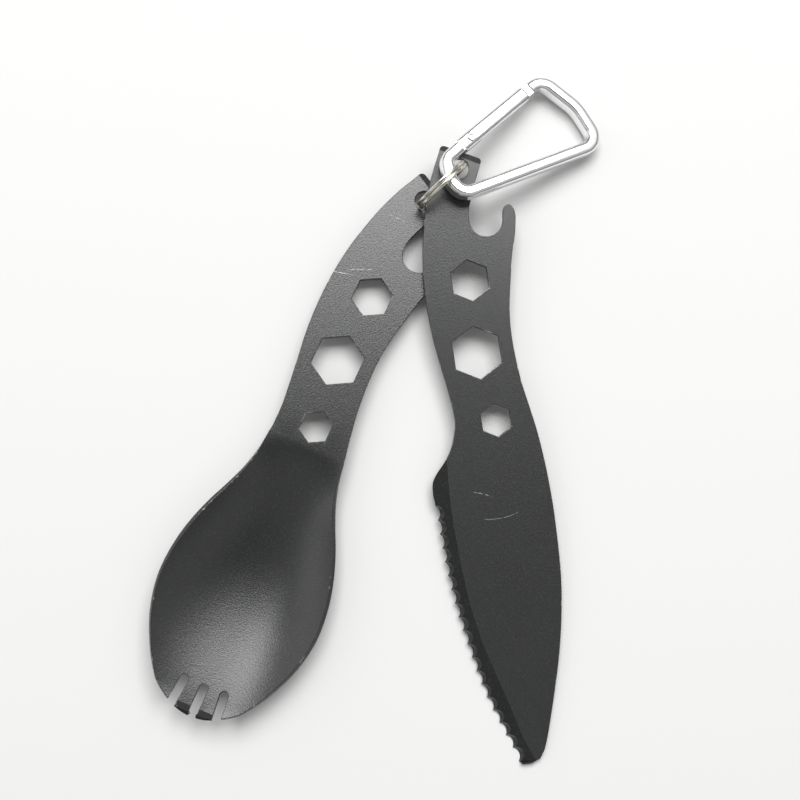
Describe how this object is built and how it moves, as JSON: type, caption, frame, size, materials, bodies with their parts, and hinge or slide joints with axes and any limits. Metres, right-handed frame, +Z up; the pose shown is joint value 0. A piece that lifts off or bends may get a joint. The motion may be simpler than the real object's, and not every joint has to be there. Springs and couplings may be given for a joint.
{
  "type": "camping cutlery set",
  "caption": "Camping cutlery: a spork and a serrated knife with wrench-hole handles, linked by a split ring and a small D carabiner with a sprung gate.",
  "frame": {"origin": "centre of the whole set seen from above, on the surface it lies on", "axes": "+Z up, +Y from the blades towards the ring and carabiner, +X towards the knife side"},
  "size_m": [0.1272, 0.196, 0.0183],
  "materials": {
    "black_coated_steel": "satin black coating with bare worn edges",
    "bright_aluminium": "smooth, tumbled",
    "nickel_steel": "plated, bright",
    "spring_steel": "bare"
  },
  "bodies": {
    "spork": {"spork": "black_coated_steel"},
    "ring": {"split_ring": "nickel_steel"},
    "knife": {"knife": "black_coated_steel"},
    "carabiner": {"carabiner_body": "bright_aluminium", "gate_rivet": "bright_aluminium"},
    "gate": {"carabiner_gate": "bright_aluminium", "gate_spring": "spring_steel"},
    "plunger": {"spring_plunger": "spring_steel"}
  },
  "joints": [
    {"name": "ring_swing", "type": "hinge", "parent": "spork", "child": "ring", "pos_m": [0.01287, 0.06183, 0.0035], "axis": [0, 0, 1], "range_deg": [0, 70]},
    {"name": "knife_fan", "type": "hinge", "parent": "ring", "child": "knife", "pos_m": [0.02248, 0.07016, 0.00785], "axis": [0, 0, 1], "range_deg": [0, 20]},
    {"name": "carabiner_lift", "type": "hinge", "parent": "ring", "child": "carabiner", "pos_m": [0.01961, 0.06913, 0.01274], "axis": [0.4959, -0.8682, 0.017], "range_deg": [0, 110]},
    {"name": "gate_open", "type": "hinge", "parent": "carabiner", "child": "gate", "pos_m": [0.02536, 0.07807, 0.01036], "axis": [-0.1975, -0.1318, -0.9714], "range_deg": [0, 25], "stiffness_Nm_per_rad": 0.01, "springref_deg": -22.92, "deforming": ["gate_spring"]},
    {"name": "plunger_slide", "type": "slide", "parent": "gate", "child": "plunger", "axis": [0.717, 0.6563, -0.2348], "range_m": [0, 0.00044]}
  ],
  "couplings": [
    {"joint": "plunger_slide", "follows": "gate_open", "m_per_rad": 0.001}
  ]
}
